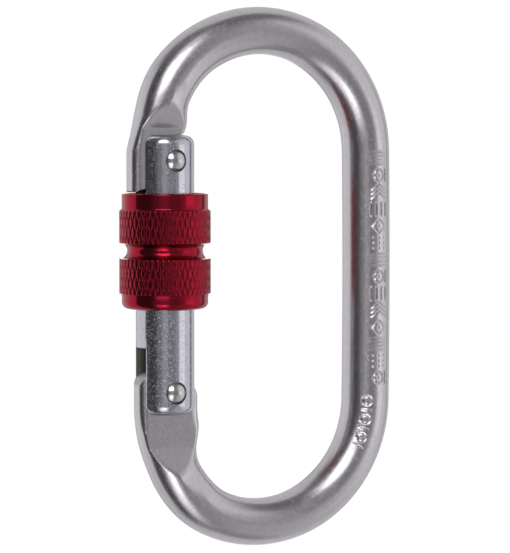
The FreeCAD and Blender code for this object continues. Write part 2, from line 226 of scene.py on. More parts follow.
# A stroke is a groove with sloping walls and a low burr beside it. The walls' width and the burr's place
# and half width are shares of its half width, and the burr's height is a share of its depth.
STROKE_HALF = 0.25
STAMP_DEPTH = 0.16
STROKE_WALL = 0.8
BURR, BURR_PLACE, BURR_HALF = 0.2, 1.5, 0.5
STROKE_REACH = 3
FAR_AWAY = 9.0


def mark_strokes(kind):
    """Strokes of one stamped mark, as (along, across) ends round its middle, and its rings' radii."""
    half = MARK_HALF
    if kind == "bars":
        return [(k, -half, k, half) for k in (-1.2, -0.4, 0.4, 1.2)], []
    if kind == "rails":
        return [(-1.35, k, 1.35, k) for k in (-half, -0.6, 0.6, half)], []
    if kind == "chevrons":
        return [(k, side * half, k + 1.1, 0) for k in (-1.3, -0.4, 0.5) for side in (-1, 1)], []
    if kind == "diamond":
        sides = [(a * 1.35, 0, 0, b * half) for a in (-1, 1) for b in (-1, 1)]
        return sides + [(-DOT_HALF, 0, DOT_HALF, 0)], []
    if kind == "dots":
        return [(a, b, a + DOT_HALF, b) for a in (-1.1, 0, 1.1) for b in (-1.3, 0, 1.3)], []
    return [(-DOT_HALF, 0, DOT_HALF, 0), (-1.3, half, 1.3, half)], [1.15]


def stamped_marks():
    """All stamped marks, which spell nothing: strokes, and rings as (along, across, radius)."""
    strokes, rings = [], []
    along = MARK_TOP
    for kind in MARK_KINDS:
        here, circles = mark_strokes(kind)
        strokes += [(along + a, MARK_SIDE + b, along + c, MARK_SIDE + d) for a, b, c, d in here]
        rings += [(along, MARK_SIDE, radius) for radius in circles]
        along -= MARK_STEP
    for along in LOW_RINGS:
        rings.append((along, LOW_RING_SIDE, LOW_RING_R))
        tick = along - LOW_TICK_STEP
        strokes.append((tick, LOW_RING_SIDE - LOW_TICK_HALF, tick, LOW_RING_SIDE + LOW_TICK_HALF))
    return np.array(strokes), np.array(rings)


STROKES, RINGS = stamped_marks()


def stamp(along, across):
    """Depth of the stamped marks at one place along the bar, at several places across its front."""
    nearest = np.full(across.shape, FAR_AWAY)
    for x0, y0, x1, y1 in STROKES:
        if abs(along - (x0 + x1) / 2) > STROKE_REACH:
            continue
        run = np.array([x1 - x0, y1 - y0])
        part = np.clip(((along - x0) * run[0] + (across - y0) * run[1]) / (run @ run), 0, 1)
        nearest = np.minimum(nearest, np.hypot(along - x0 - part * run[0], across - y0 - part * run[1]))
    for x0, y0, radius in RINGS:
        nearest = np.minimum(nearest, np.abs(np.hypot(along - x0, across - y0) - radius))
    fall = np.clip((STROKE_HALF - nearest) / (STROKE_WALL * STROKE_HALF), 0, 1)
    burr = np.clip(1 - np.abs(nearest / STROKE_HALF - BURR_PLACE) / BURR_HALF, 0, 1)
    return STAMP_DEPTH * fall ** 2 * (3 - 2 * fall) - BURR * STAMP_DEPTH * burr ** 2


# Where the loft's points lie round a section, as turns from its inner edge: close together in front,
# where the marks are, and wider apart behind.
FRONT_TURN = np.radians(np.concatenate([np.arange(1.5, 60, 4.3), np.arange(60.5, 122, 1.35),
                                        np.arange(123.5, 179, 4.3)]))
BACK_TURN = np.radians(np.arange(177.5, 0, -5.0))
FRONT, BACK = (1 - np.cos(FRONT_TURN)) / 2, (1 - np.cos(BACK_TURN)) / 2

# How the bar's section changes towards its pressed ends, against the turn round each bow from the spine in
# degrees. First the inner and the outer edge, as distances from the bow's middle, then each edge's corner
# as its width, its full height and the half height of its flat rim. The bar leaves the true bow a little
# before it is pressed. A press face is flat up to a height and then rises with a slope.
NOSE_INNER_EDGE = ([119, 131, 145, 150, 154.5, 161, 165, 168.5, 171, 174, 180],
                   [20, 19.88, 19.42, 19.15, 18.65, 17.9, 17.85, 18.3, 19.8, 19.95, 19.9])
NOSE_OUTER_EDGE = ([135, 141, 147, 153, 159, 165, 169, 173, 177, 180],
                   [30, 29.98, 29.86, 29.55, 29.15, 28.85, 28.82, 28.95, 29.3, 29.55])
TONGUE_INNER_EDGE = ([110, 117, 126, 134, 140, 145, 151.5, 158, 163, 171, 180],
                     [20, 19.9, 19.42, 18.9, 18.5, 17.95, 16.85, 15.75, 15.2, 15.0, 15.0])
TONGUE_OUTER_EDGE = ([114, 126, 135, 142, 148, 154, 163, 172, 180],
                     [30, 29.82, 29.45, 29.05, 28.68, 28.36, 28.12, 28.02, 28.0])
OUTER_CORNER = ([150, 165, 173, 180], [[5, 3.8, 2.7, 2.4], [5, 4.5, 3.1, 2.75], [0, 0.3, 0.65, 0.76]])
NOSE_CORNERS = (([143, 155, 165, 172, 176, 180], [[5, 7, 7.5, 4, 1.3, 1.2], [5, 5, 5, 3.6, 2.5, 2.5],
                                                  [0, 0, 0, 0.7, 1.2, 1.3]]), OUTER_CORNER)
TONGUE_CORNERS = (([128, 142, 150, 158, 166, 180], [[5, 8, 9, 5, 1.6, 1.2], [5, 5, 5, 4, 2.6, 2.5],
                                                    [0, 0, 0, 0.5, 1.1, 1.3]]), OUTER_CORNER)
NOSE_PRESS = (86.8, 0.48)
TONGUE_PRESS = (21.7, -0.44)

# How wide the crease is rounded where a corner meets the press face, and where that face starts to rise,
# and how steeply a section rises inside its corner.
RIDGE, FOLD = 0.22, 0.04
CORNER_CLIMB = 1.5

# Up to this turn a bow is still the plain round bar.
PLAIN_TURN = 90

# How far the spine is bent inwards where it meets the bows, and how far from its middle that is.
SPINE_BEND, SPINE_BEND_REACH = 0.2, 28


def flow(place, places, amounts):
    """A smooth curve through the amounts at those places, level beyond them."""
    places, amounts = np.array(places, float), np.array(amounts, float)
    slopes = np.gradient(amounts, places)
    slopes[0] = slopes[-1] = 0
    k = int(np.clip(np.searchsorted(places, place) - 1, 0, len(places) - 2))
    step = places[k + 1] - places[k]
    t = min(max((place - places[k]) / step, 0), 1)
    return float((2 * t ** 3 - 3 * t ** 2 + 1) * amounts[k] + (t ** 3 - 2 * t ** 2 + t) * step * slopes[k]
                 + (3 * t ** 2 - 2 * t ** 3) * amounts[k + 1] + (t ** 3 - t ** 2) * step * slopes[k + 1])


def low_min(a, b, width):
    """The lower of two heights, with the crease between them rounded over width."""
    share = np.clip(0.5 + 0.5 * (b - a) / width, 0, 1)
    return b + (a - b) * share - width * share * (1 - share)


def corner_height(inside, width, full, rim):
    """Half thickness at a distance in from an edge, whose corner is an ellipse on top of a flat rim."""
    sunk = np.clip(1 - inside / width, 0, 1)
    return rim + (full - rim) * np.sqrt(1 - sunk ** 2) + CORNER_CLIMB * np.clip(inside - width, 0, None)


def bar_height(inside, outside, turn, corners, press):
    """Half thickness across a section, from the distances to its edges, its corners and the press face."""
    low = [corner_height(gap, *[np.interp(turn, places, column) for column in columns])
           for gap, (places, columns) in zip((inside, outside), corners)]
    return np.minimum(low_min(np.minimum(*low), press, RIDGE), ROD)


def bow_station(turn, high):
    """One section of a bow, at a turn in degrees from the spine."""
    if high:
        inner, outer = flow(turn, *NOSE_INNER_EDGE), flow(turn, *NOSE_OUTER_EDGE)
        corners, (fold, slope), centre, up = NOSE_CORNERS, NOSE_PRESS, HIGH_BOW_Z, 1
    else:
        inner, outer = flow(turn, *TONGUE_INNER_EDGE), flow(turn, *TONGUE_OUTER_EDGE)
        corners, (fold, slope), centre, up = TONGUE_CORNERS, TONGUE_PRESS, LOW_BOW_Z, -1
    angle = math.radians(turn)
    points = []
    for share, turns, side in ((FRONT, FRONT_TURN, -1), (BACK, BACK_TURN, 1)):
        across = inner + (outer - inner) * share
        z = centre + up * across * math.sin(angle)
        if turn < PLAIN_TURN:
            height = ROD * np.sin(turns)
        else:
            press = -low_min(-HALF_PRESS - slope * (z - fold), np.full(z.shape, -HALF_PRESS), FOLD)
            height = bar_height(across - inner, outer - across, turn, corners, press)
        if side < 0 and not high:
            height = height - stamp(LOW_BOW_Z - BOW * angle, (turns - math.pi / 2) * ROD)
        bend = sway(z) * math.cos(angle) if turn < PLAIN_TURN else 0
        points += zip(across * math.cos(angle) + bend, side * height, z)
    return points


def sway(z):
    """How far the spine is off a straight line at a height."""
    return -SPINE_BEND * np.clip(np.abs(z - BODY_HIGH.z / 2) / SPINE_BEND_REACH, 0, 1) ** 2


def spine_station(z):
    """One section of the straight spine, stamped on its front."""
    points = []
    for share, turns, side in ((FRONT, FRONT_TURN, -1), (BACK, BACK_TURN, 1)):
        height = ROD * np.sin(turns)
        if side < 0:
            height = height - stamp(z, (turns - math.pi / 2) * ROD)
        points += [(BOW - ROD + 2 * ROD * part + sway(z), side * h, z) for part, h in zip(share, height)]
    return points


def resample(curve, shares):
    """Points at given shares of a curve's length."""
    curve = np.array(curve)
    gone = np.concatenate([[0], np.cumsum(np.hypot(*np.diff(curve, axis=0).T))])
    return np.column_stack([np.interp(shares * gone[-1], gone, curve[:, k]) for k in (0, 1)])


# How far a pressed end's rows are from its sheared edge, and a hair that keeps its points off the rim.
PLATE_GAPS = (5.4, 4.2, 3.2, 2.4, 1.8, 1.35, 1.0, 0.72, 0.48, 0.32, 0.2, 0.12, 0.06, 0.02, 0)
EDGE_INSET = 0.01
EDGE_SAMPLES = 500


def plate_end(base_z, inner, outer, end_curve, corners):
    """Rows of a pressed end, from near a level base row to its sheared end of (across, height) points."""
    edge = resample(end_curve, np.linspace(0, 1, EDGE_SAMPLES))
    reach = max(abs(height - base_z) for _, height in end_curve)
    rows = []
    for gap in PLATE_GAPS:
        blend = 1 - gap / reach
        points = []
        for share, side in ((FRONT, -1), (BACK, 1)):
            level = np.column_stack([inner + (outer - inner) * share, np.full(share.shape, base_z)])
            spots = level * (1 - blend) + resample(end_curve, share) * blend
            away = np.sqrt(((spots[:, None, :] - edge[None, :, :]) ** 2).sum(2).min(1))
            sunk = 1 - np.clip(away / SHEAR_ROUND, 0, 1)
            top = HALF_PRESS - SHEAR_ROUND * (1 - np.sqrt(1 - sunk ** 2))
            across = spots[:, 0]
            inside, outside = across - inner + EDGE_INSET, outer - across + EDGE_INSET
            height = bar_height(inside, outside, 180, corners, top)
            points += [(-n, side * h, z) for (n, z), h in zip(spots, height)]
        rows.append(points)
    return rows


def tip_height(across):
    """Height of the nose's lower end, which is an arc round the hinge."""
    return HINGE_Z + math.sqrt(NOSE_REACH ** 2 - (across + GATE_X) ** 2)


def nose_rows():
    """The nose's end: an arc round the hinge between two rounded corners."""
    low, high = NOSE_INNER + NOSE_CORNER, NOSE_OUTER - NOSE_OUTER_CORNER_R
    curve = arc((low, tip_height(low) + NOSE_CORNER), NOSE_CORNER, 180, 270, 10)
    curve += [(n, tip_height(n)) for n in np.linspace(low, high, 24)[1:-1]]
    curve += arc((high, tip_height(high) + NOSE_OUTER_CORNER_R), NOSE_OUTER_CORNER_R, 270, 360, 10)
    return plate_end(HIGH_BOW_Z, NOSE_INNER, NOSE_OUTER, curve, NOSE_CORNERS)


def tongue_rows():
    """The tongue's end: the cam's working arc, a sheared top and a rounded corner."""
    curve = arc((TONGUE_INNER + CAM_R, TONGUE_FLANK_Z), CAM_R, 180, 141, 14)
    curve += arc((CAM_ACROSS, CAM_Z), CAM_R, 128, 90, 30)
    curve += line(curve[-1], (TONGUE_OUTER - TONGUE_CORNER, TONGUE_TOP), 12)[1:-1]
    curve += arc((TONGUE_OUTER - TONGUE_CORNER, TONGUE_TOP - TONGUE_CORNER), TONGUE_CORNER, 90, 0, 16)
    return plate_end(LOW_BOW_Z, TONGUE_INNER, TONGUE_OUTER, curve, TONGUE_CORNERS)


def end_strip(first):
    """Closes an end of the loft with faces between its front and back points."""
    near = [first + len(FRONT) + int(np.argmin(np.abs(BACK - share))) for share in FRONT]
    faces = []
    for k in range(len(FRONT) - 1):
        back = (near[k + 1],) if near[k] == near[k + 1] else (near[k + 1], near[k])
        faces.append((first + k, first + k + 1) + back)
    return faces


# Where the loft's sections are: as turns round each bow, close together where the bar is pressed or
# stamped, and the step between them down the spine.
HIGH_TURNS = np.concatenate([np.arange(180, 138, -0.9), np.arange(138, 0.5, -1.9)])
LOW_TURNS = np.concatenate([np.arange(0, 30, 0.45), np.arange(30.5, 138, 1.9),
                            np.arange(138.5, 180.1, 0.9)])
SPINE_STEP = 0.19

# A face counts as part of the tongue's sheared end if its normal points up at least this much.
SHEARED = 0.3


def make_body():
    """The one-piece oval, lofted from the nose's end round both bows to the tongue's end."""
    stations = list(reversed(nose_rows()))
    stations += [bow_station(turn, True) for turn in HIGH_TURNS]
    stations += [spine_station(z) for z in np.arange(HIGH_BOW_Z, LOW_BOW_Z + 0.05, -SPINE_STEP)]
    stations += [bow_station(turn, False) for turn in LOW_TURNS]
    stations += tongue_rows()
    columns = len(FRONT) + len(BACK)
    faces = ring_faces(len(stations), columns) + end_strip(0) + end_strip((len(stations) - 1) * columns)
    body = mesh_object("oval_bar", [point for station in stations for point in station], faces)
    for face in body.data.polygons:
        height = (face.center.z - CAD_BOX[0].z) / MM
        near_hinge = face.center.x < (GATE_X + GATE_R) * MM and HINGE_Z < height < TONGUE_TOP + 1
        if near_hinge and face.normal.z > SHEARED:
            face.material_index = 1
    holes = ((RIVET_R + PLATE_HOLE_GAP, HINGE_Z), (NOTCH_R, LATCH_Z))
    cut_away(body, [cross_drill(radius, z) for radius, z in holes], BODY_SHARP)
    return body


# ---------------------------------------------------------------- the gate, its rivets and the sleeve

def slot_turn(radius):
    """Half the angle that a fork's slot takes out of a round of that radius."""
    return math.asin(HALF_FORK / radius)


# Columns of the gate's mesh across each side of a slot's mouth and round each cheek, and heights of its
# rows below and above the thread.
MOUTH, CHEEK = 12, 44
GATE_COLUMNS = 2 * (MOUTH + CHEEK)
LOW_ROWS = (33, 36, 39, HINGE_FORK_TOP, 45, 50, 55)
HIGH_ROWS = (69, NOSE_FORK_BOTTOM, 76, 79, 82)


def gate_profile():
    """The gate's outline as (radius, height) from the bottom up, with its raised thread."""
    outline = arc((GATE_R - GATE_ROUND, GATE_BOTTOM + GATE_ROUND), GATE_ROUND, -90, 0, 10)
    outline += [(GATE_R, z) for z in (*LOW_ROWS, THREAD_BOTTOM)]
    outline += [(THREAD_R, THREAD_BOTTOM), (THREAD_R, THREAD_TOP)]
    outline += [(GATE_R, z) for z in (THREAD_TOP, *HIGH_ROWS)]
    return outline + arc((GATE_R - GATE_ROUND, GATE_TOP - GATE_ROUND), GATE_ROUND, 0, 90, 10)


def gate_ring(radius, z):
    """One ring of points round the gate, with a column on each edge of the slots' mouths."""
    half = slot_turn(min(radius, GATE_R))
    ends = [-half, half, math.pi - half, math.pi + half, 2 * math.pi - half]
    turns = []
    for start, end, count in zip(ends, ends[1:], (MOUTH, CHEEK, MOUTH, CHEEK)):
        turns += list(np.linspace(start, end, count + 1)[:-1])
    return [(radius * math.cos(t), radius * math.sin(t), z) for t in turns]


def broken_edges(work):
    """The sharp edges of both forks, apart from those deep in the slots, where walls meet roofs."""
    sharp = []
    for edge in work.edges:
        if len(edge.link_faces) != 2 or edge.calc_face_angle() < math.radians(BREAK_FROM):
            continue
        heights = [(vert.co.z - CAD_BOX[0].z) / MM for vert in edge.verts]
        if min(heights) > HINGE_FORK_TOP + 1 and max(heights) < NOSE_FORK_BOTTOM - 1:
            continue
        if any(face.material_index != 1 for face in edge.link_faces):
            sharp.append(edge)
    return sharp


def make_gate():
    """The gate bar: forked at both ends with broken edges, bored for the spring, with its raised thread."""
    profile = gate_profile()
    low_roof, high_roof = profile.index((GATE_R, HINGE_FORK_TOP)), profile.index((GATE_R, NOSE_FORK_BOTTOM))
    points = [point for radius, z in profile for point in gate_ring(radius, z)]
    work = bmesh.new()
    spots = [work.verts.new(((x + GATE_X) * MM, y * MM, z * MM + CAD_BOX[0].z)) for x, y, z in points]

    def spot(row, column):
        return spots[row * GATE_COLUMNS + column % GATE_COLUMNS]

    def quad(row, right, left):
        return work.faces.new([spot(row, right), spot(row, left), spot(row + 1, left), spot(row + 1, right)])

    across = MOUTH + CHEEK
    for row in range(len(profile) - 1):
        slotted = row < low_roof or row >= high_roof
        for column in range(GATE_COLUMNS):
            if not slotted or column % across >= MOUTH:
                quad(row, column, column + 1)
        # Slot walls take the dark slot steel, which is partly painted shade of the deep slots.
        if slotted:
            for right, left in ((MOUTH, across), (0, MOUTH + across)):
                quad(row, right, left).material_index = 1
    for row in (0, len(profile) - 1):
        for start in (MOUTH, MOUTH + across):
            work.faces.new([spot(row, start + k) for k in range(CHEEK + 1)]).material_index = 2
    # The slots' roofs take the dark slot steel too, partly painted shade.
    for row in (low_roof, high_roof):
        rim = [spot(row, start + k) for start in (0, across) for k in range(MOUTH + 1)]
        work.faces.new(rim).material_index = 1
    work.normal_update()
    bmesh.ops.recalc_face_normals(work, faces=work.faces)
    bmesh.ops.bevel(work, geom=broken_edges(work), offset=EDGE_BREAK * MM, segments=2, profile=0.5,
                    affect="EDGES", clamp_overlap=True)
    mesh = bpy.data.meshes.new("gate_bar")
    work.to_mesh(mesh)
    work.free()
    gate = bpy.data.objects.new("gate_bar", mesh)
    bpy.context.scene.collection.objects.link(gate)
    holes = [cross_drill(RIVET_R + RIVET_GAP, z) for z in (HINGE_Z, LATCH_Z)]
    bore = lathe("cutter", [(BORE_R, HINGE_FORK_TOP - 1), (BORE_R, BORE_TOP)], 64, (GATE_X, 0, 0))
    cut_away(gate, holes + [bore], GATE_SHARP)
    return gate


# How a rivet's dome is divided: the radius of its first ring, rings up to its rim, and turns over the rim.
DOME_START, DOME_RINGS = 0.02, 14
RIM_TURNS = np.radians(np.arange(12, 91, 13))


def make_rivet(name, z):
    """A rivet across the gate, both ends peened to a dome with a soft rim."""
    rim = RIVET_R - RIVET_RIM
    radii = np.concatenate([np.linspace(DOME_START, rim, DOME_RINGS), rim + RIVET_RIM * np.sin(RIM_TURNS)])
    dome = []
    for radius in radii:
        drop = RIVET_RIM - math.sqrt(max(RIVET_RIM ** 2 - max(radius - rim, 0) ** 2, 0))
        dome.append((radius, RIVET_Y - DOME_R + math.sqrt(DOME_R ** 2 - radius ** 2) - drop))
    profile = [(radius, -up) for radius, up in dome] + [(radius, up) for radius, up in reversed(dome)]
    return lathe(name, profile, 72, (GATE_X, 0, z), "Y", sharp=RIVET_SHARP)


# The knurl: two families of grooves that cross, cut into the sleeve's raised bands. A band has a shoulder
# and a broken edge at each end, the grooves run out just past them, and faces above a height over the
# collar have the knurl's finish.
KNURL_STARTS = 48
KNURL_LEAN = math.tan(math.radians(16.6))
KNURL_DEPTH = 0.14
KNURL_WIDTH = 0.42
KNURL_BANDS = ((53.2, 60.3), (63.5, 70.1))
KNURL_R = 9.35
KNURL_EDGE = 0.06
KNURL_SHOULDER = 0.42
KNURL_ROW = 0.24
KNURL_RUNOUT = 0.25
KNURL_FINISH = 0.12
SLEEVE_COLUMNS = 432

# The sleeve's plain parts: its collars, the waist between the bands, and the steps inside from the
# counterbore down over the thread, the ring's groove and the lip. Steps are (radius, height).
COLLAR_R = 8.85
LOW_COLLAR = [(COLLAR_R, 52.55), (COLLAR_R + 0.06, 52.82)]
HIGH_COLLAR = [(COLLAR_R + 0.05, 70.4), (COLLAR_R, 70.62), (COLLAR_R, 71.6)]
LIP_ROUND = 1.45
MOUTH_ROUND = 0.28
WAIST_Z, WAIST_R = 61.9, 1.61
WAIST_ENDS = (262, 98)
CLEAR_R, THREAD_BORE_R, GROOVE_R, COUNTERBORE_R = 6.2, 6.45, 7.8, 8.25
INSIDE_STEPS = [(COUNTERBORE_R, 67.2), (THREAD_BORE_R, 67.2), (THREAD_BORE_R, 65.7), (7.0, 65.7), (7.0, 54.2),
                (CLEAR_R, 54.2), (CLEAR_R, 53.2), (GROOVE_R, 53.2), (GROOVE_R, 51.2), (CLEAR_R, 51.2)]


def knurled(radius, turn, z):
    """The radius of a knurled band at a turn and a height, from the radius of its plain surface."""
    deepest = 0.0
    for lean in (-KNURL_LEAN, KNURL_LEAN):
        place = KNURL_STARTS * (turn + lean * z / KNURL_R) / (2 * math.pi)
        away = abs(place - math.floor(place) - 0.5) * 2
        deepest = max(deepest, 1 - away / KNURL_WIDTH)
    return min(radius, KNURL_R - KNURL_DEPTH * max(deepest, 0))


def sleeve_profile():
    """The sleeve's closed half section as (radius, height), outside upwards and then inside downwards."""
    low, high = SLEEVE_LOW.z, SLEEVE_HIGH.z
    outside = [(CLEAR_R, low)] + arc((COLLAR_R - LIP_ROUND, low + LIP_ROUND), LIP_ROUND, -90, 0, 12)
    outside += LOW_COLLAR
    for bottom, top in KNURL_BANDS:
        rows = np.arange(bottom + KNURL_EDGE, top - 0.05, KNURL_ROW)
        outside += [(KNURL_R - KNURL_SHOULDER, bottom - 0.1), (KNURL_R - KNURL_EDGE, bottom)]
        outside += [(KNURL_R, z) for z in rows]
        outside += [(KNURL_R - KNURL_EDGE, top)]
        if top < WAIST_Z:
            outside += arc((KNURL_R, WAIST_Z), WAIST_R, *WAIST_ENDS, 22)
    outside += HIGH_COLLAR + [(COLLAR_R, high - 0.75)]
    outside += arc((COLLAR_R - MOUTH_ROUND, high - MOUTH_ROUND), MOUTH_ROUND, 0, 90, 5)
    return outside + [(COUNTERBORE_R + 0.08, high), (COUNTERBORE_R, high - 0.1)] + INSIDE_STEPS


def make_sleeve():
    """The screw sleeve, with its knurl as real geometry."""
    points = []
    for radius, z in sleeve_profile():
        near_band = any(bottom - KNURL_RUNOUT < z < top + KNURL_RUNOUT for bottom, top in KNURL_BANDS)
        for column in range(SLEEVE_COLUMNS):
            turn = 2 * math.pi * column / SLEEVE_COLUMNS
            here = knurled(radius, turn, z) if near_band and radius > COLLAR_R else radius
            points.append((GATE_X + here * math.cos(turn), here * math.sin(turn), z))
    rows = len(points) // SLEEVE_COLUMNS
    last = (rows - 1) * SLEEVE_COLUMNS
    faces = ring_faces(rows, SLEEVE_COLUMNS)
    for column in range(SLEEVE_COLUMNS):
        after = (column + 1) % SLEEVE_COLUMNS
        faces.append((last + column, last + after, after, column))
    sleeve = mesh_object("knurled_sleeve", points, faces, SLEEVE_SHARP)
    for face in sleeve.data.polygons:
        if math.hypot(face.center.x - GATE_X * MM, face.center.y) > (COLLAR_R + KNURL_FINISH) * MM:
            face.material_index = 1
    return sleeve


# ---------------------------------------------------------------- materials

class Nodes:
    """Builds one node tree; its methods add a node and return the output that is used."""

    def __init__(self, tree):
        self.tree = tree
        tree.nodes.clear()

    def add(self, kind, inputs=None, **settings):
        """A new node, with each input linked from a socket or set to a value."""
        node = self.tree.nodes.new(kind)
        for name, setting in settings.items():
            setattr(node, name, setting)
        for name, source in (inputs or {}).items():
            if isinstance(source, bpy.types.NodeSocket):
                self.tree.links.new(source, node.inputs[name])
            else:
                node.inputs[name].default_value = source
        return node

    def math(self, operation, first, second=0.0):
        """One step of arithmetic on sockets or numbers."""
        return self.add("ShaderNodeMath", {0: first, 1: second}, operation=operation).outputs[0]

    def ramp(self, source, low, high, to_low=0.0, to_high=1.0):
        """Smoothly maps low..high to to_low..to_high."""
        inputs = {"Value": source, "From Min": low, "From Max": high, "To Min": to_low, "To Max": to_high}
        return self.add("ShaderNodeMapRange", inputs, interpolation_type="SMOOTHSTEP").outputs["Result"]

    def noise(self, size_mm, detail=2.0):
        """Noise with features of about that size, in the object's own frame."""
        place = self.add("ShaderNodeTexCoord").outputs["Object"]
        inputs = {"Vector": place, "Scale": 1 / MM / size_mm, "Detail": detail}
        return self.add("ShaderNodeTexNoise", inputs).outputs["Fac"]

    def bump(self, height, distance_mm, normal=None):
        """A normal for a height of 0 to 1 that stands for that many millimetres, on top of another one."""
        inputs = {"Height": height, "Distance": distance_mm * MM}
        if normal is not None:
            inputs["Normal"] = normal
        return self.add("ShaderNodeBump", inputs).outputs["Normal"]

    def mix_colour(self, share, first, second):
        """A colour between two, by a share from 0 to 1."""
        node = self.add("ShaderNodeMix", data_type="RGBA")
        self.tree.links.new(share, node.inputs["Factor"])
        node.inputs[6].default_value = (*first, 1)
        node.inputs[7].default_value = (*second, 1)
        return node.outputs[2]


def new_material(name):
    """An empty material and its node builder."""
    made = bpy.data.materials.new(name)
    made.use_nodes = True
    return made, Nodes(made.node_tree)


def steel(name, colour, rough, grain, speckle):
    """Plated steel: its tone and polish vary a little, with a fine grain and small specks in relief."""
    made, nodes = new_material(name)
    fine = nodes.noise(0.22, 2.0)
    pits = nodes.ramp(nodes.noise(0.24, 1.0), 0.6, 0.72)
    dull = tuple(0.95 * part for part in colour)
    tone = nodes.mix_colour(nodes.ramp(nodes.noise(0.9, 3.0), 0.35, 0.65), dull, colour)
    roughness = nodes.math("ADD", nodes.math("MULTIPLY", nodes.noise(0.6, 2.0), 0.08), rough - 0.04)
    normal = nodes.bump(pits, 0.006 * speckle, normal=nodes.bump(fine, 0.0025 * grain))
    shader = nodes.add("ShaderNodeBsdfPrincipled", {
        "Base Color": tone, "Metallic": 1.0, "Roughness": roughness, "Normal": normal})
    nodes.add("ShaderNodeOutputMaterial", {"Surface": shader.outputs[0]})
    return made


def anodised(name, colour, rough, veil):
    """Red anodised aluminium: a tinted metal under a thin clear skin, a little darker in patches."""
    made, nodes = new_material(name)
    fine = nodes.noise(0.25, 2.0)
    dark = tuple(0.87 * part for part in colour)
    tone = nodes.mix_colour(nodes.ramp(nodes.noise(1.8, 2.0), 0.3, 0.7), dark, colour)
    roughness = nodes.math("ADD", nodes.math("MULTIPLY", fine, 0.06), rough - 0.03)
    shader = nodes.add("ShaderNodeBsdfPrincipled", {
        "Base Color": tone, "Metallic": 1.0, "Roughness": roughness, "Coat Weight": veil,
        "Coat Roughness": 0.45, "Normal": nodes.bump(fine, 0.002)})
    nodes.add("ShaderNodeOutputMaterial", {"Surface": shader.outputs[0]})
    return made


def rubber(name):
    """Black rubber with a fine, dull grain."""
    made, nodes = new_material(name)
    fine = nodes.noise(0.2, 3.0)
    colour = nodes.mix_colour(fine, (0.012, 0.012, 0.013), (0.03, 0.03, 0.032))
    roughness = nodes.ramp(fine, 0.2, 0.8, 0.55, 0.75)
    shader = nodes.add("ShaderNodeBsdfPrincipled", {
        "Base Color": colour, "Roughness": roughness, "Normal": nodes.bump(fine, 0.01)})
    nodes.add("ShaderNodeOutputMaterial", {"Surface": shader.outputs[0]})
    return made


MATERIALS = {
    "body_steel": steel("body_steel", (0.545, 0.52, 0.555), 0.23, 1.3, 1.8),
    "gate_steel": steel("gate_steel", (0.525, 0.525, 0.59), 0.1, 1.4, 3.6),
    # The slot steel is dark partly for oxide and dirt in the forks and partly as painted shade deep in the
    # slots.
    "slot_dirt_and_shade_steel": steel("slot_dirt_and_shade_steel", (0.2, 0.185, 0.17), 0.4, 2.0, 1.0),
    "cut_steel": steel("cut_steel", (0.5, 0.485, 0.49), 0.5, 3.0, 2.0),
    "rivet_steel": steel("rivet_steel", (0.57, 0.54, 0.56), 0.12, 0.8, 0.4),
    "spring_steel": steel("spring_steel", (0.46, 0.46, 0.48), 0.25, 0.8, 0.4),
    "sleeve_anodised": anodised("sleeve_anodised", (0.335, 0.0055, 0.024), 0.1, 0.15),
    "knurl_anodised": anodised("knurl_anodised", (0.285, 0.0055, 0.021), 0.18, 0.15),
    "ring_rubber": rubber("ring_rubber"),
}


def finish_piece(piece, slots, body, node):
    """Gives a piece its materials and its place on a CAD body, and hides the CAD node that it replaces."""
    for slot in slots:
        piece.data.materials.append(MATERIALS[slot])
    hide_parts(node)
    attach(piece, body)


finish_piece(make_body(), ["body_steel", "cut_steel"], "oval", "body")
finish_piece(make_gate(), ["gate_steel", "slot_dirt_and_shade_steel", "cut_steel"], "gate", "gate")
finish_piece(make_rivet("hinge_rivet_peened", HINGE_Z), ["rivet_steel"], "gate", "hinge_rivet")
finish_piece(make_rivet("latch_pin_peened", LATCH_Z), ["rivet_steel"], "gate", "latch_pin")
finish_piece(make_sleeve(), ["sleeve_anodised", "knurl_anodised"], "sleeve", "locking_sleeve")

for node, slot in (("gate_spring", "spring_steel"), ("spring_plunger", "rivet_steel"),
                   ("sleeve_friction_ring", "ring_rubber")):
    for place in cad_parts[node].material_slots:
        place.material = MATERIALS[slot]


# ---------------------------------------------------------------- studio

# The camera: its turn to the gate side and its rise, its distance in metres and its lens, what it can see
# in metres, and how far it is moved to the left and up from the oval's middle, in millimetres.
VIEW_TURN = math.radians(25.8)
VIEW_RISE = math.radians(2.91)
VIEW_DISTANCE = 0.6
VIEW_LENS = 188.0
VIEW_CLIP = (0.01, 10)
VIEW_LEFT, VIEW_UP = 0.96, 0.12
TO_CAMERA = Vector((-math.sin(VIEW_TURN), -math.cos(VIEW_TURN), 0))
RIGHTWARD = Vector((math.cos(VIEW_TURN), -math.sin(VIEW_TURN), 0))

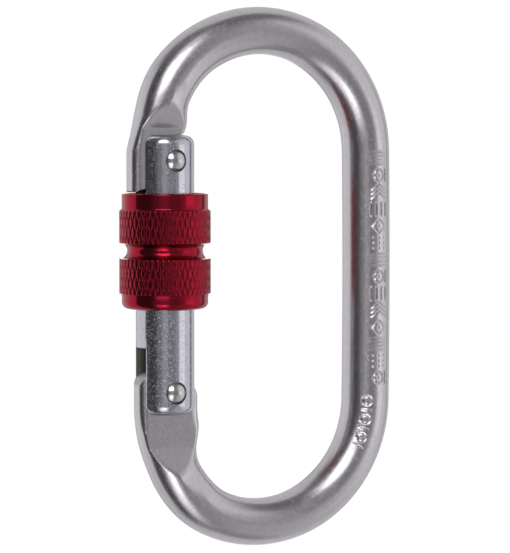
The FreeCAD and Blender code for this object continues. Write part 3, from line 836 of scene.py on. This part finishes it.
# Panels of the studio as the metal sees them, painted one over the other: left and right edge as turns to
# the right of the front, low and high edge as elevations, how soft the upright and the level edges are,
# all in degrees, and how bright each one is. AROUND is the brightness elsewhere.
AROUND = 0.78
PANELS = [
    (-140, -88, -25, 22, 8, 14, 0.93),
    (157, 200, -28, 22, 4, 6, 0.35),
    (-200, -157, -28, 22, 4, 6, 0.35),
    (171, 200, -28, 18, 3, 5, 1.7),
    (-200, -171, -28, 18, 3, 5, 1.7),
    (-95, -78, -62, 58, 4, 10, 0.93),
    (57, 122, -42, 32, 4, 10, 0.88),
    (58, 86, -13, 5, 4, 4, 1.27),
    (60, 122, -68, -30, 8, 8, 0.66),
    (120, 131, -20, 20, 5, 8, 0.42),
    (-38, 57, -62, 58, 6, 8, 0.34),
    (10, 48, -14, 14, 6, 6, 0.27),
    (44, 72, -66, -12, 6, 10, 0.55),
    (46, 60, 8, 30, 5, 8, 0.5),
    (46, 58, -14, 6, 4, 6, 0.42),
    (-6, 11, -14, 12, 6, 5, 0.45),
    (-40, -24, -30, 22, 7, 6, 0.14),
    (-24, -12, -12, 12, 6, 5, 0.22),
    (-115, 115, 46, 92, 15, 12, 0.2),
    (-115, 115, -92, -60, 15, 10, 0.33),
    (-82, -35, -76, 55, 3, 8, 0.075),
    (-23, 17, 17, 49, 4, 5, 2.9),
    (-20, 15, 50, 66, 6, 6, 0.95),
    (-20, 12, -68, -48, 5, 6, 1.0),
    (-22, 13, -54, -16, 4, 5, 1.6),
    (-7, 5, 38, 48, 3, 3, 6.0),
    (-7, 5, -36, -26, 3, 3, 5.0),
]


def make_world():
    """White surroundings with soft panels, and plain white where the camera looks past the object."""
    world = bpy.data.worlds.new("studio")
    bpy.context.scene.world = world
    world.use_nodes = True
    nodes = Nodes(world.node_tree)
    way = nodes.add("ShaderNodeTexCoord").outputs["Generated"]
    parts = {}
    for name, axis in (("front", TO_CAMERA), ("side", RIGHTWARD), ("up", Vector((0, 0, 1)))):
        along = nodes.add("ShaderNodeVectorMath", {0: way, 1: axis}, operation="DOT_PRODUCT")
        parts[name] = along.outputs["Value"]
    turn = nodes.math("DEGREES", nodes.math("ARCTAN2", parts["side"], parts["front"]))
    rise = nodes.math("DEGREES", nodes.math("ARCSINE", parts["up"]))
    light = AROUND
    for left, right, low, high, soft_turn, soft_rise, bright in PANELS:
        share = 1.0
        for place, start, end, soft in ((turn, left, right, soft_turn), (rise, low, high, soft_rise)):
            share = nodes.math("MULTIPLY", share, nodes.ramp(place, start - soft, start + soft))
            share = nodes.math("MULTIPLY", share, nodes.ramp(place, end - soft, end + soft, 1.0, 0.0))
        mixed = nodes.add("ShaderNodeMix", {"Factor": share, "A": light, "B": bright}, data_type="FLOAT")
        light = mixed.outputs["Result"]
    studio = nodes.add("ShaderNodeBackground", {"Color": (1, 1, 1, 1), "Strength": light}).outputs[0]
    plain = nodes.add("ShaderNodeBackground", {"Color": (1, 1, 1, 1), "Strength": 1.0}).outputs[0]
    seen = nodes.add("ShaderNodeLightPath").outputs["Is Camera Ray"]
    shown = nodes.add("ShaderNodeMixShader", {0: seen, 1: studio, 2: plain}).outputs[0]
    nodes.add("ShaderNodeOutputWorld", {"Surface": shown})


# The floor's half size in metres, and a hair's gap that keeps it below the oval.
FLOOR_HALF = 1.5
FLOOR_GAP = 0.1 * MM


def make_floor():
    """A plain white floor under the object, which the metal doesn't mirror."""
    ground = CAD_BOX[0].z - FLOOR_GAP
    corners = [(FLOOR_HALF * x, FLOOR_HALF * y, ground) for x, y in ((-1, -1), (1, -1), (1, 1), (-1, 1))]
    mesh = bpy.data.meshes.new("floor")
    mesh.from_pydata(corners, [], [(0, 1, 2, 3)])
    floor = bpy.data.objects.new("floor", mesh)
    bpy.context.scene.collection.objects.link(floor)
    made, nodes = new_material("floor_white")
    white = nodes.add("ShaderNodeEmission", {"Color": (1, 1, 1, 1), "Strength": 1.0}).outputs[0]
    clear = nodes.add("ShaderNodeBsdfTransparent").outputs[0]
    below = nodes.add("ShaderNodeNewGeometry").outputs["Backfacing"]
    nodes.add("ShaderNodeOutputMaterial", {
        "Surface": nodes.add("ShaderNodeMixShader", {0: below, 1: white, 2: clear}).outputs[0]})
    mesh.materials.append(made)
    for ray in ("visible_glossy", "visible_diffuse", "visible_transmission", "visible_shadow"):
        setattr(floor, ray, False)


def make_camera():
    """The camera, a long lens level with the object and turned to its gate side."""
    camera = bpy.data.objects.new("camera", bpy.data.cameras.new("camera"))
    bpy.context.scene.collection.objects.link(camera)
    camera.data.lens = VIEW_LENS
    camera.data.clip_start, camera.data.clip_end = VIEW_CLIP
    back = TO_CAMERA * math.cos(VIEW_RISE) + Vector((0, 0, math.sin(VIEW_RISE)))
    middle = Vector((0, 0, (BODY_LOW.z + BODY_HIGH.z) / 2 * MM + CAD_BOX[0].z))
    camera.rotation_mode = "QUATERNION"
    camera.rotation_quaternion = back.to_track_quat("Z", "Y")
    upward = back.cross(RIGHTWARD)
    camera.location = middle + back * VIEW_DISTANCE - RIGHTWARD * VIEW_LEFT * MM + upward * VIEW_UP * MM
    bpy.context.scene.camera = camera


make_world()
make_floor()
make_camera()
bpy.context.scene.view_settings.view_transform = "Standard"
